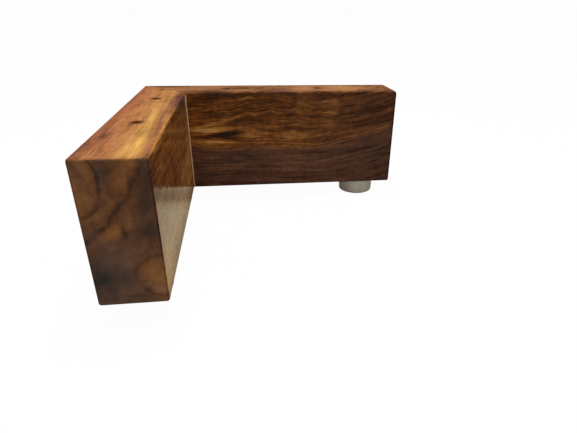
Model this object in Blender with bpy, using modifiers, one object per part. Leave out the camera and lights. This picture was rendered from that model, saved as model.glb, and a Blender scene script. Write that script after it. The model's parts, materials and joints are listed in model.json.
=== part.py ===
"""Corner foot for furniture: two mitred hardwood arms in an L, standing on three screwed-on plastic glides.

Run with: blender --background --python part.py
Lengths are metres and +Z is up. The origin lies on the floor, under the middle of the foot's box.
"""

import math

import bmesh
import bpy
from mathutils import Vector

# Arms: both are cut from the same board
ARM_LENGTH = 0.160
ARM_WIDTH = 0.0275
ARM_HEIGHT = 0.060
EDGE_ROUND = 0.0012
MITRE_GLUE_GAP = 0.0003

# Holes for the screws that hold the foot to a frame, drilled from below
FAR_HOLE_FROM_CORNER = 0.052
FAR_HOLE_FROM_END = 0.0495
NEAR_HOLE_FROM_CORNER = 0.047
NEAR_HOLE_FROM_END = 0.0545
HOLES_PER_ARM = 2
HOLE_DIAMETER = 0.005
HOLE_RIM_CHAMFER = 0.0004
COUNTERBORE_DIAMETER = 0.011
COUNTERBORE_DEPTH = 0.035

# Dowels across the mitre
DOWEL_DIAMETER = 0.008
DOWEL_LENGTH = 0.020
DOWEL_CHAMFER = 0.0008
DOWEL_FLUTES = 14
DOWEL_FLUTE_DEPTH = 0.0004
DOWEL_END_ROOM = 0.0005

# Bead of hardened glue down the inner corner
GLUE_BEAD_LEG = 0.0013
GLUE_BEAD_HOLLOW = 0.3

# Glides, one near each end and one near the corner
GLIDE_DIAMETER = 0.0235
GLIDE_BASE_DIAMETER = 0.0230
GLIDE_HEIGHT = 0.010
GLIDE_BASE_ROUND = 0.0014
GLIDE_WALL = 0.0022
GLIDE_FLOOR = 0.0026
GLIDE_RIBS = 6
GLIDE_RIB_WIDTH = 0.0014
GLIDE_FROM_OUTER_FACE = 0.01325
FAR_GLIDE_FROM_END = 0.0205
NEAR_GLIDE_FROM_END = 0.029
CORNER_GLIDE_FROM_BACK = 0.024

# Pan head wood screws that hold the glides
SCREW_LENGTH = 0.016
SCREW_SHANK_DIAMETER = 0.0038
SCREW_POINT_LENGTH = 0.005
SCREW_HEAD_DIAMETER = 0.0072
SCREW_HEAD_HEIGHT = 0.0026
SCREW_HEAD_FROM_FLOOR = 0.0022
SCREW_RECESS_SPAN = 0.0042
SCREW_RECESS_ROOT_WIDTH = 0.0011
SCREW_RECESS_TIP_WIDTH = 0.0007
SCREW_RECESS_DEPTH = 0.0015
SCREW_HEAD_ROOM = 0.001
SCREW_POINT_ROOM = 0.0005

# Clearance kept wherever two pieces meet
SEAT_GAP = 0.0003

# Working values for the modelling operations
CUT_OVERRUN = 0.002
WELD_DISTANCE = 0.00001
EDGE_SEGMENTS = 3
HOLE_STEPS = 24
DOWEL_STEPS_PER_FLUTE = 2
GLIDE_STEPS = 36
SCREW_STEPS = 18
ROUND_SEGMENTS = 3

# Sizes that follow from the ones above
MITRE_NORMAL = Vector((1, 1, 0)).normalized()
MITRE_MIDDLE = Vector((ARM_WIDTH / 2, -ARM_WIDTH / 2, 0))
HEAD_SEAT_HEIGHT = SCREW_HEAD_FROM_FLOOR + SCREW_HEAD_HEIGHT + SEAT_GAP
GLIDE_PLACES = {
    "far_end": Vector((ARM_LENGTH - FAR_GLIDE_FROM_END, -GLIDE_FROM_OUTER_FACE, 0)),
    "near_end": Vector((GLIDE_FROM_OUTER_FACE, NEAR_GLIDE_FROM_END - ARM_LENGTH, 0)),
    "corner": Vector((GLIDE_FROM_OUTER_FACE, -CORNER_GLIDE_FROM_BACK, 0)),
}
DOWEL_HEIGHTS = {"lower": ARM_HEIGHT / 3, "upper": ARM_HEIGHT * 2 / 3}

# Finishes: base colour in linear light, roughness, metallic
FINISHES = {
    "lacquered_timber": ((0.130, 0.055, 0.022), 0.22, 0.0),
    "beech_dowel": ((0.480, 0.300, 0.160), 0.60, 0.0),
    "dried_glue": ((0.600, 0.500, 0.340), 0.45, 0.0),
    "moulded_plastic": ((0.700, 0.680, 0.600), 0.42, 0.0),
    "zinc_plated_steel": ((0.560, 0.570, 0.580), 0.35, 1.0),
}


def clear_scene():
    """Removes what the scene holds when the script starts."""
    for item in list(bpy.data.objects):
        bpy.data.objects.remove(item, do_unlink=True)


def new_collection(name):
    """A collection linked to the scene."""
    collection = bpy.data.collections.new(name)
    bpy.context.scene.collection.children.link(collection)
    return collection


def finish(name):
    """The Principled material of this name, made on first use."""
    if name in bpy.data.materials:
        return bpy.data.materials[name]
    colour, roughness, metallic = FINISHES[name]
    material = bpy.data.materials.new(name)
    material.use_nodes = True
    shader = material.node_tree.nodes["Principled BSDF"]
    shader.inputs["Base Color"].default_value = (*colour, 1)
    shader.inputs["Roughness"].default_value = roughness
    shader.inputs["Metallic"].default_value = metallic
    return material


def add_part(name, mesh, finish_name, place=(0, 0, 0), turn=(0, 0, 0)):
    """A piece of the foot, placed from the outer corner of the L at floor level."""
    mesh.materials.append(finish(finish_name))
    part = bpy.data.objects.new(name, mesh)
    part.parent = outer_corner
    part.location = place
    part.rotation_euler = turn
    parts.objects.link(part)
    return part


def add_cutter(name, mesh, place=(0, 0, 0), turn=(0, 0, 0)):
    """A shape that only serves a Boolean, placed like a piece."""
    cutter = bpy.data.objects.new(name, mesh)
    cutter.parent = outer_corner
    cutter.location = place
    cutter.rotation_euler = turn
    cutter.hide_render = True
    cutter.display_type = "WIRE"
    cutters.objects.link(cutter)
    return cutter


def boolean(part, tool, operation="DIFFERENCE"):
    """Cuts the tool from the part, or joins it on."""
    modifier = part.modifiers.new(tool.name, "BOOLEAN")
    modifier.operation = operation
    modifier.solver = "EXACT"
    modifier.object = tool


def mesh_of(bm, name):
    """Turns a bmesh into a mesh and frees it."""
    mesh = bpy.data.meshes.new(name)
    bm.to_mesh(mesh)
    bm.free()
    return mesh


def outline_bmesh(name, outline, height):
    """A flat outline raised from z = 0 to height, as a welded bmesh with whole faces."""
    curve = bpy.data.curves.new(name, "CURVE")
    curve.dimensions = "2D"
    curve.fill_mode = "BOTH"
    curve.extrude = height / 2
    spline = curve.splines.new("POLY")
    spline.points.add(len(outline) - 1)
    for point, (x, y) in zip(spline.points, outline):
        point.co = (x, y, 0, 1)
    spline.use_cyclic_u = True
    flat = bpy.data.objects.new(name, curve)
    bpy.context.scene.collection.objects.link(flat)
    graph = bpy.context.evaluated_depsgraph_get()
    raised = bpy.data.meshes.new_from_object(flat.evaluated_get(graph))
    bpy.data.objects.remove(flat, do_unlink=True)
    bm = bmesh.new()
    bm.from_mesh(raised)
    bmesh.ops.remove_doubles(bm, verts=bm.verts, dist=WELD_DISTANCE)
    bmesh.ops.dissolve_limit(bm, angle_limit=math.radians(1), verts=bm.verts, edges=bm.edges)
    bmesh.ops.translate(bm, verts=bm.verts, vec=(0, 0, height / 2))
    bmesh.ops.recalc_face_normals(bm, faces=bm.faces)
    return bm


def profile_mesh(name, profile, closed=False):
    """The line of a turned profile, given as (radius, height) from its top down the outer side."""
    points = [(radius, 0, height) for radius, height in profile]
    edges = [(i, i + 1) for i in range(len(points) - 1)]
    if closed:
        edges.append((len(points) - 1, 0))
    mesh = bpy.data.meshes.new(name)
    mesh.from_pydata(points, edges, [])
    return mesh


def turn_profile(part, steps):
    """Revolves a profile about its own Z axis."""
    screw = part.modifiers.new("turned", "SCREW")
    screw.axis = "Z"
    screw.angle = 2 * math.pi
    screw.steps = steps
    screw.render_steps = steps
    screw.use_smooth_shade = True
    screw.use_merge_vertices = True
    screw.merge_threshold = WELD_DISTANCE


def cylinder_mesh(name, radius, height, steps):
    """A closed cylinder centred on its own origin, along Z."""
    bm = bmesh.new()
    bmesh.ops.create_cone(
        bm, cap_ends=True, segments=steps, radius1=radius, radius2=radius, depth=height
    )
    return mesh_of(bm, name)


def arc(centre, radius, start, end, segments):
    """Points of a circular arc in the profile's plane, both ends included. Angles are degrees."""
    angles = [math.radians(start + (end - start) * i / segments) for i in range(segments + 1)]
    return [(centre[0] + radius * math.cos(a), centre[1] + radius * math.sin(a)) for a in angles]


def blank_bmesh():
    """The whole L with its edges eased, as it is after gluing and sanding, standing on z = 0."""
    outline = [
        (0, 0),
        (0, -ARM_LENGTH),
        (ARM_WIDTH, -ARM_LENGTH),
        (ARM_WIDTH, -ARM_WIDTH),
        (ARM_LENGTH, -ARM_WIDTH),
        (ARM_LENGTH, 0),
    ]
    bm = outline_bmesh("blank", outline, ARM_HEIGHT)
    bmesh.ops.bevel(
        bm,
        geom=[edge for edge in bm.edges if edge.is_convex],
        offset=EDGE_ROUND,
        segments=EDGE_SEGMENTS,
        profile=0.5,
        affect="EDGES",
    )
    return bm


def make_arm(name, side):
    """One arm: the part of the blank on one side of the mitre. side is 1 for far and -1 for near."""
    bm = blank_bmesh()
    cut = bmesh.ops.bisect_plane(
        bm,
        geom=bm.verts[:] + bm.edges[:] + bm.faces[:],
        dist=WELD_DISTANCE,
        plane_co=MITRE_NORMAL * side * MITRE_GLUE_GAP / 2,
        plane_no=-MITRE_NORMAL * side,
        clear_outer=True,
    )
    rim = [item for item in cut["geom_cut"] if isinstance(item, bmesh.types.BMEdge)]
    bmesh.ops.edgeloop_fill(bm, edges=rim)
    bmesh.ops.recalc_face_normals(bm, faces=bm.faces)
    mesh = mesh_of(bm, name)
    mesh.shade_smooth()
    mesh.set_sharp_from_angle(angle=math.radians(40))
    return add_part(name, mesh, "lacquered_timber", place=(0, 0, GLIDE_HEIGHT))


def screw_hole_profile():
    """Stepped drill: counterbore from below, clearance hole, eased rim at the top."""
    hole = HOLE_DIAMETER / 2
    bore = COUNTERBORE_DIAMETER / 2
    return [
        (0, ARM_HEIGHT + CUT_OVERRUN),
        (hole + HOLE_RIM_CHAMFER + CUT_OVERRUN, ARM_HEIGHT + CUT_OVERRUN),
        (hole, ARM_HEIGHT - HOLE_RIM_CHAMFER),
        (hole, COUNTERBORE_DEPTH),
        (bore, COUNTERBORE_DEPTH),
        (bore, -CUT_OVERRUN),
        (0, -CUT_OVERRUN),
    ]


def drill_screw_holes(arm, along, across, from_corner, from_end):
    """Drills the row of frame screw holes down the middle of one arm, first to last evenly spaced."""
    pitch = (ARM_LENGTH - from_end - from_corner) / (HOLES_PER_ARM - 1)
    for number in range(HOLES_PER_ARM):
        name = f"{arm.name}_screw_drill_{number + 1}"
        distance = from_corner + number * pitch
        place = along * distance + across * ARM_WIDTH / 2 + Vector((0, 0, GLIDE_HEIGHT))
        drill = add_cutter(name, profile_mesh(name, screw_hole_profile()), place)
        turn_profile(drill, HOLE_STEPS)
        boolean(arm, drill)


def dowel_mesh(name):
    """A fluted dowel with chamfered ends, along Z and centred on its own origin."""
    steps = DOWEL_FLUTES * DOWEL_STEPS_PER_FLUTE
    outline = []
    for i in range(steps):
        groove = DOWEL_FLUTE_DEPTH if i % DOWEL_STEPS_PER_FLUTE else 0
        radius = DOWEL_DIAMETER / 2 - groove
        angle = 2 * math.pi * i / steps
        outline.append((radius * math.cos(angle), radius * math.sin(angle)))
    straight = DOWEL_LENGTH - 2 * DOWEL_CHAMFER
    bm = outline_bmesh(name, outline, straight)
    bmesh.ops.translate(bm, verts=bm.verts, vec=(0, 0, -straight / 2))
    ends = [face for face in bm.faces if len(face.verts) == steps]
    bmesh.ops.inset_region(bm, faces=ends, thickness=DOWEL_CHAMFER, depth=DOWEL_CHAMFER)
    return mesh_of(bm, name)


def make_dowels(arms):
    """Sets the dowels square across the mitre, with their sockets in both arms."""
    across_mitre = MITRE_NORMAL.to_track_quat("Z", "Y").to_euler()
    for position, height in DOWEL_HEIGHTS.items():
        name = f"mitre_dowel_{position}"
        place = MITRE_MIDDLE + Vector((0, 0, GLIDE_HEIGHT + height))
        add_part(name, dowel_mesh(name), "beech_dowel", place, across_mitre)
        socket = cylinder_mesh(
            f"{name}_socket",
            DOWEL_DIAMETER / 2 + SEAT_GAP,
            DOWEL_LENGTH + 2 * DOWEL_END_ROOM,
            HOLE_STEPS,
        )
        drill = add_cutter(f"{name}_drill", socket, place, across_mitre)
        for arm in arms:
            boolean(arm, drill)


def make_glue_line():
    """The bead of glue in the inner corner: two flat backs and a hollow front."""
    back = SEAT_GAP
    tip = back + GLUE_BEAD_LEG
    middle = back + GLUE_BEAD_LEG * GLUE_BEAD_HOLLOW
    outline = [(back, -back), (back, -tip), (middle, -middle), (tip, -back)]
    height = ARM_HEIGHT - 2 * EDGE_ROUND
    mesh = mesh_of(outline_bmesh("corner_glue_line", outline, height), "corner_glue_line")
    place = (ARM_WIDTH, -ARM_WIDTH, GLIDE_HEIGHT + EDGE_ROUND)
    add_part("corner_glue_line", mesh, "dried_glue", place)


def glide_profile():
    """Moulded cup: rounded foot, screw counterbore below, hollow with a boss above."""
    top = GLIDE_HEIGHT - SEAT_GAP
    rim = GLIDE_DIAMETER / 2
    base = GLIDE_BASE_DIAMETER / 2
    pocket = SCREW_HEAD_DIAMETER / 2 + SCREW_HEAD_ROOM
    hole = SCREW_SHANK_DIAMETER / 2 + SEAT_GAP
    boss = pocket + GLIDE_WALL
    foot = arc((base - GLIDE_BASE_ROUND, GLIDE_BASE_ROUND), GLIDE_BASE_ROUND, 0, -90, ROUND_SEGMENTS)
    return [
        (rim, top),
        *foot,
        (pocket, 0),
        (pocket, HEAD_SEAT_HEIGHT),
        (hole, HEAD_SEAT_HEIGHT),
        (hole, top),
        (boss, top),
        (boss, GLIDE_FLOOR),
        (base - GLIDE_WALL, GLIDE_FLOOR),
        (rim - GLIDE_WALL, top),
    ]


def rib_mesh(name):
    """One radial rib inside a glide, from the boss to the wall."""
    inner = SCREW_HEAD_DIAMETER / 2 + SCREW_HEAD_ROOM + GLIDE_WALL / 2
    outer = GLIDE_BASE_DIAMETER / 2 - GLIDE_WALL / 2
    low = GLIDE_FLOOR / 2
    high = GLIDE_HEIGHT - SEAT_GAP - GLIDE_WALL / 2
    bm = bmesh.new()
    bmesh.ops.create_cube(bm, size=1)
    bmesh.ops.scale(bm, verts=bm.verts, vec=(outer - inner, GLIDE_RIB_WIDTH, high - low))
    bmesh.ops.translate(bm, verts=bm.verts, vec=((outer + inner) / 2, 0, (high + low) / 2))
    return mesh_of(bm, name)


def make_glide(position, place):
    """A glide with its ribs, standing on the floor."""
    name = f"{position}_glide"
    glide = add_part(name, profile_mesh(name, glide_profile(), closed=True), "moulded_plastic", place)
    turn_profile(glide, GLIDE_STEPS)
    for number in range(GLIDE_RIBS):
        rib_name = f"{name}_rib_{number + 1}"
        angle = 2 * math.pi * (number + 0.5) / GLIDE_RIBS
        rib = add_cutter(rib_name, rib_mesh(rib_name), place, (0, 0, angle))
        boolean(glide, rib, "UNION")


def screw_profile():
    """Pan head wood screw, point up, with its head's crown at the bottom."""
    shank = SCREW_SHANK_DIAMETER / 2
    head = SCREW_HEAD_DIAMETER / 2
    seat = SCREW_HEAD_FROM_FLOOR + SCREW_HEAD_HEIGHT
    tip = seat + SCREW_LENGTH
    crown = SCREW_HEAD_HEIGHT * 0.8
    dome = [
        (head * math.cos(math.radians(90 * i / ROUND_SEGMENTS)),
         SCREW_HEAD_FROM_FLOOR + crown * (1 - math.sin(math.radians(90 * i / ROUND_SEGMENTS))))
        for i in range(ROUND_SEGMENTS)
    ]
    return [
        (0, tip),
        (shank, tip - SCREW_POINT_LENGTH),
        (shank, seat),
        (head, seat),
        *dome,
        (0, SCREW_HEAD_FROM_FLOOR),
    ]


def recess_mesh(name):
    """The cross that a driver fits, reaching up into the screw's head from below."""
    reach = SCREW_RECESS_SPAN / 2
    tip = SCREW_RECESS_TIP_WIDTH / 2
    root = SCREW_RECESS_ROOT_WIDTH / 2
    quarter = [(reach, -tip), (reach, tip), (root, root)]
    outline = []
    for turn in range(4):
        cos, sin = math.cos(turn * math.pi / 2), math.sin(turn * math.pi / 2)
        outline.extend((x * cos - y * sin, x * sin + y * cos) for x, y in quarter)
    bm = outline_bmesh(name, outline, SCREW_RECESS_DEPTH + CUT_OVERRUN)
    bmesh.ops.translate(bm, verts=bm.verts, vec=(0, 0, SCREW_HEAD_FROM_FLOOR - CUT_OVERRUN))
    return mesh_of(bm, name)


def make_glide_screw(position, place, arm):
    """The screw that holds one glide, with its pilot hole in the arm above."""
    name = f"{position}_glide_screw"
    screw = add_part(name, profile_mesh(name, screw_profile()), "zinc_plated_steel", place)
    turn_profile(screw, SCREW_STEPS)
    recess = add_cutter(f"{name}_recess", recess_mesh(f"{name}_recess"), place)
    boolean(screw, recess)
    top = SCREW_HEAD_FROM_FLOOR + SCREW_HEAD_HEIGHT + SCREW_LENGTH + SCREW_POINT_ROOM
    bottom = GLIDE_HEIGHT - CUT_OVERRUN
    pilot = cylinder_mesh(
        f"{name}_pilot", SCREW_SHANK_DIAMETER / 2 + SEAT_GAP, top - bottom, HOLE_STEPS
    )
    drill = add_cutter(f"{name}_drill", pilot, place + Vector((0, 0, (top + bottom) / 2)))
    boolean(arm, drill)


def main():
    """Builds the foot, piece by piece."""
    far_arm = make_arm("far_arm", 1)
    near_arm = make_arm("near_arm", -1)
    right, front = Vector((1, 0, 0)), Vector((0, -1, 0))
    drill_screw_holes(far_arm, right, front, FAR_HOLE_FROM_CORNER, FAR_HOLE_FROM_END)
    drill_screw_holes(near_arm, front, right, NEAR_HOLE_FROM_CORNER, NEAR_HOLE_FROM_END)
    make_dowels((far_arm, near_arm))
    make_glue_line()
    carriers = {"far_end": far_arm, "near_end": near_arm, "corner": near_arm}
    for position, place in GLIDE_PLACES.items():
        make_glide(position, place)
        make_glide_screw(position, place, carriers[position])


clear_scene()
parts = new_collection("furniture_corner_foot")
cutters = new_collection("furniture_corner_foot_cutters")
outer_corner = bpy.data.objects.new("outer_corner", None)
outer_corner.location = (-ARM_LENGTH / 2, ARM_LENGTH / 2, 0)
parts.objects.link(outer_corner)
main()
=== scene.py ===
"""Looks of an L-shaped hardwood corner foot for furniture: boards, glue line, glides and screws."""

from __future__ import annotations

import json
import logging
import math
from dataclasses import dataclass, field
from enum import Enum
from functools import partial
from typing import Any, Callable, Sequence

import bmesh
import bpy
from mathutils import Matrix, Vector, noise

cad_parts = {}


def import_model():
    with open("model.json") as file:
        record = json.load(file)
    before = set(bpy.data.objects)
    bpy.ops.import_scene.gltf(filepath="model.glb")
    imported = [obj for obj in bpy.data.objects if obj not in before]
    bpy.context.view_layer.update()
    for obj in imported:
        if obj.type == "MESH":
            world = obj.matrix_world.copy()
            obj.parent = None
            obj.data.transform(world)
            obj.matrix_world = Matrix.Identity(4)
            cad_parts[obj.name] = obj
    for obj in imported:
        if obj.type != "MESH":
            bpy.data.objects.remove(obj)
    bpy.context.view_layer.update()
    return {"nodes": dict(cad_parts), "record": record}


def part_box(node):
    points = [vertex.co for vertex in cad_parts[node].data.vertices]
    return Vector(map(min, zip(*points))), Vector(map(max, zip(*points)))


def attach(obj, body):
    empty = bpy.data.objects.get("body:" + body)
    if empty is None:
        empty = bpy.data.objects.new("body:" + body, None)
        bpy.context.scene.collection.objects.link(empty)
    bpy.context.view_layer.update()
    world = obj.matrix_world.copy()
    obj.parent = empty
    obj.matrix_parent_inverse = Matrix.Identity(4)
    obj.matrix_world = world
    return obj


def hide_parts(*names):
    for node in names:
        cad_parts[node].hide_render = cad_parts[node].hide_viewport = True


LOG = logging.getLogger("corner_foot")
BODY = "root"
MM = 0.001
MERGE_DISTANCE = 1e-6
CUT_DISTANCE = 1e-7

MATH = "ShaderNodeMath"
VECTOR = "ShaderNodeVectorMath"
NOISE = "ShaderNodeTexNoise"
RAMP = "ShaderNodeValToRGB"
RANGE = "ShaderNodeMapRange"
MIX = "ShaderNodeMix"
SEPARATE = "ShaderNodeSeparateXYZ"
COMBINE = "ShaderNodeCombineXYZ"

Source = Any
Socket = bpy.types.NodeSocket
AddNode = Callable[..., Socket]
Span = tuple[float, float]
Point = tuple[float, float, float]
Stops = tuple[tuple[float, str], ...]


class Arm(Enum):
    """The two boards of the foot, by the way they run in the photograph."""

    NEAR = "near_arm"
    FAR = "far_arm"


class Seat(Enum):
    """The three places where a glide is screwed under the boards."""

    FAR_END = "far_end"
    NEAR_END = "near_end"
    CORNER = "corner"


@dataclass(frozen=True)
class Lumps:
    """A noise in the wood: its lumps' size in grain millimetres, its share and its finer detail."""

    size: Point
    share: float = 1.0
    detail: float = 2.0
    roughness: float = 0.5


def linear(colour: str) -> tuple[float, float, float, float]:
    """Turns an sRGB hex colour into linear light.

    Args:
        colour: Six hex digits.

    Returns:
        Red, green, blue and an alpha of 1.
    """
    shares = [int(colour[i : i + 2], 16) / 255 for i in (0, 2, 4)]
    lit = [s / 12.92 if s <= 0.04045 else ((s + 0.055) / 1.055) ** 2.4 for s in shares]
    return (lit[0], lit[1], lit[2], 1.0)


def add_node(
    tree: bpy.types.NodeTree,
    kind: str,
    *sources: Source,
    out: int | str = 0,
    stops: Stops = (),
    **settings: Source,
) -> Socket:
    """Adds one node to a tree, sets it up and links what feeds it.

    Args:
        tree: The node tree that takes the node.
        kind: The node's type name.
        sources: Values or sockets for the inputs, in order.
        out: Which output to return, by number or name.
        stops: Colour stops, for a colour ramp.
        settings: Node properties, or inputs by identifier or by name, with underscores for spaces.

    Returns:
        The chosen output socket.
    """
    node = tree.nodes.new(kind)
    inputs: dict[int | str, Source] = dict(enumerate(sources))
    for name, value in settings.items():
        if hasattr(node, name):
            setattr(node, name, value)
        else:
            inputs[name] = value
    known = {socket.identifier: socket for socket in node.inputs}
    for key, value in inputs.items():
        if isinstance(key, int):
            socket = node.inputs[key]
        else:
            socket = known[key] if key in known else node.inputs[key.replace("_", " ")]
        if isinstance(value, Socket):
            tree.links.new(value, socket)
        else:
            socket.default_value = value
    if stops:
        elements = node.color_ramp.elements
        while len(elements) < len(stops):
            elements.new(1.0)
        for element, (place, colour) in zip(elements, stops):
            element.position = place
            element.color = linear(colour)
    return node.outputs[out]


def speckle(node: AddNode, place: Socket, lumps: Lumps) -> Socket:
    """Adds a noise that swings about zero.

    Args:
        node: The function that adds a node to the tree.
        place: The point, in the unit of the lumps' size.
        lumps: The noise's lumps. Their share is left to the caller.

    Returns:
        The noise, from about -0.5 to 0.5.
    """
    scaled = node(VECTOR, place, [1 / width for width in lumps.size], operation="MULTIPLY")
    value = node(NOISE, scaled, Scale=1.0, Detail=lumps.detail, Roughness=lumps.roughness)
    return node(MATH, value, 0.5, operation="SUBTRACT")


def drifted(node: AddNode, place: Socket, onto: Socket, lumps: Lumps, depth: float) -> Socket:
    """Moves a point across the grain by a noise, and never along it.

    Args:
        node: The function that adds a node to the tree.
        place: The point at which the noise is read.
        onto: The point that is moved.
        lumps: The noise's lumps.
        depth: How far the noise moves the point.

    Returns:
        The moved point.
    """
    drift = node(VECTOR, place, [1 / width for width in lumps.size], operation="MULTIPLY")
    drift = node(NOISE, drift, Scale=1.0, Detail=lumps.detail, Roughness=lumps.roughness, out="Color")
    drift = node(VECTOR, drift, (0.5, 0.5, 0.5), operation="SUBTRACT")
    return node(VECTOR, drift, (0.0, depth, depth), onto, operation="MULTIPLY_ADD")


def new_material(
    name: str, **sockets: Source
) -> tuple[bpy.types.Material, bpy.types.NodeTree, bpy.types.Node]:
    """Makes a material with a Principled shader.

    Args:
        name: The finish, in a maker's words.
        sockets: Values for the shader's sockets, with underscores for spaces.

    Returns:
        The material, its node tree and its Principled node.
    """
    material = bpy.data.materials.new(name)
    material.use_nodes = True
    tree = material.node_tree
    shader = tree.nodes["Principled BSDF"]
    for socket, value in sockets.items():
        shader.inputs[socket.replace("_", " ")].default_value = value
    return material, tree, shader


def feed(tree: bpy.types.NodeTree, shader: bpy.types.Node, **sources: Socket) -> None:
    """Links sockets to a shader's inputs, which are named with underscores for spaces."""
    for name, source in sources.items():
        tree.links.new(source, shader.inputs[name.replace("_", " ")])


def mesh_object(bm: bmesh.types.BMesh, name: str) -> bpy.types.Object:
    """Turns a bmesh into an object in the scene, and frees the bmesh.

    Args:
        bm: The finished bmesh.
        name: The object's name.

    Returns:
        The new object, at the origin.
    """
    mesh = bpy.data.meshes.new(name)
    bm.to_mesh(mesh)
    bm.free()
    item = bpy.data.objects.new(name, mesh)
    bpy.context.scene.collection.objects.link(item)
    return item


def plain_mesh(item: bpy.types.Object) -> bpy.types.Object:
    """Bakes an object's modifiers into its mesh.

    Args:
        item: The object whose modifiers are done.

    Returns:
        The same object, with a plain mesh and no modifiers.
    """
    graph = bpy.context.evaluated_depsgraph_get()
    mesh = bpy.data.meshes.new_from_object(item.evaluated_get(graph))
    item.modifiers.clear()
    old = item.data
    item.data = mesh
    mesh.name = item.name
    bpy.data.meshes.remove(old)
    return item


def cut_away(item: bpy.types.Object, cutters: Sequence[bpy.types.Object]) -> None:
    """Cuts closed shapes out of a piece, and removes the shapes from the scene.

    Args:
        item: The piece that is cut.
        cutters: The shapes.
    """
    for cutter in cutters:
        cutting = item.modifiers.new(cutter.name, "BOOLEAN")
        cutting.operation = "DIFFERENCE"
        cutting.object = cutter
    plain_mesh(item)
    for cutter in cutters:
        bpy.data.objects.remove(cutter, do_unlink=True)


def smooth_with_sharp_edges(item: bpy.types.Object, degrees: float) -> None:
    """Shades a mesh smooth, with edges steeper than an angle kept sharp."""
    item.data.shade_smooth()
    item.data.set_sharp_from_angle(angle=math.radians(degrees))


def turned(profile: Sequence[Span], steps: int, closed: bool) -> bmesh.types.BMesh:
    """Turns a profile about the upright axis.

    Args:
        profile: Radius and height of each point, in metres.
        steps: Faces round the axis.
        closed: Whether the last point joins the first.

    Returns:
        A closed shell with its faces outwards.
    """
    bm = bmesh.new()
    points = [bm.verts.new((radius, 0, height)) for radius, height in profile]
    pairs = list(zip(points, points[1:]))
    if closed:
        pairs.append((points[-1], points[0]))
    edges = [bm.edges.new(pair) for pair in pairs]
    bmesh.ops.spin(
        bm, geom=points + edges, axis=(0, 0, 1), cent=(0, 0, 0), steps=steps, angle=2 * math.pi
    )
    bmesh.ops.remove_doubles(bm, verts=bm.verts, dist=MERGE_DISTANCE)
    bmesh.ops.recalc_face_normals(bm, faces=bm.faces)
    return bm


def arc(centre: Span, radius: float, start: float, end: float, steps: int) -> list[Span]:
    """Gives the points of an arc in a profile.

    Args:
        centre: Radius and height of the arc's centre.
        radius: The arc's radius.
        start: Angle of its first point, in degrees.
        end: Angle of its last point, in degrees.
        steps: Lengths along the arc.

    Returns:
        The arc's points, in order.
    """
    angles = [math.radians(start + (end - start) * i / steps) for i in range(steps + 1)]
    return [(centre[0] + radius * math.cos(a), centre[1] + radius * math.sin(a)) for a in angles]


def loft(bm: bmesh.types.BMesh, rings: Sequence[Sequence[bmesh.types.BMVert]]) -> None:
    """Joins rings of points into a tube with closed ends.

    Args:
        bm: The bmesh that holds the points.
        rings: The rings from one end to the other, each with as many points.
    """
    for lower, upper in zip(rings, rings[1:]):
        for i, corner in enumerate(lower):
            j = (i + 1) % len(lower)
            bm.faces.new((corner, lower[j], upper[j], upper[i]))
    bm.faces.new(reversed(rings[0]))
    bm.faces.new(rings[-1])


def dress(item: bpy.types.Object, material: bpy.types.Material) -> None:
    """Gives a piece its one finish."""
    item.data.materials.clear()
    item.data.materials.append(material)


def keep(item: bpy.types.Object, material: bpy.types.Material, slot: str, *nodes: str) -> None:
    """Dresses a finished piece and hands it to the frame.

    Args:
        item: The piece.
        material: Its finish.
        slot: The record's material slot. Not used.
        nodes: The CAD nodes that it stands for.
    """
    dress(item, material)
    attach(item, BODY)
    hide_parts(*nodes)
    LOG.info("%s: %d faces for %s", item.name, len(item.data.polygons), ", ".join(nodes))


@dataclass(frozen=True)
class Swirl:
    """A place where the growth layers turn round an eye, a pocket or a stain.

    Centre and reach are in grain millimetres: along the board from the outer corner, in from its
    inner face, and up from its bottom. The tilt is its rise along the board. The lift bends the layers
    one way, the spread parts them as a lens does, the tone lightens or darkens the middle, the heart
    turns it to heartwood colours, and the rim draws a dark vein round it on end grain.
    """

    centre: Point
    reach: Point
    tilt: float = 0.0
    lift: float = 0.0
    spread: float = 0.0
    tone: float = 0.0
    heart: float = 0.0
    rim: float = 0.0
    rim_width: float = 0.9


@dataclass(frozen=True)
class Streak:
    """One kind of streak in the grain: its sizes in millimetres, and its share on sides and on ends.

    The crest is the most that it lightens the wood: a low one leaves thin dark lines alone.
    """

    width: float
    length: float
    through: float
    on_side: float
    on_end: float
    crest: float = 0.5


@dataclass(frozen=True)
class Faces:
    """Shares from 0 to 1 that tell which way a point of a board faces."""

    upward: Socket
    sidelong: Socket
    endward: Socket
    lengthwise: Socket
    eased: Socket
    outlying: Socket


@dataclass(frozen=True)
class Figure:
    """What the grain gives at a point: its place among the layers, its tone and its heartwood."""

    place: Socket
    wobbled: Socket
    tone: Socket
    heart: Socket
    stain: Source


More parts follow.
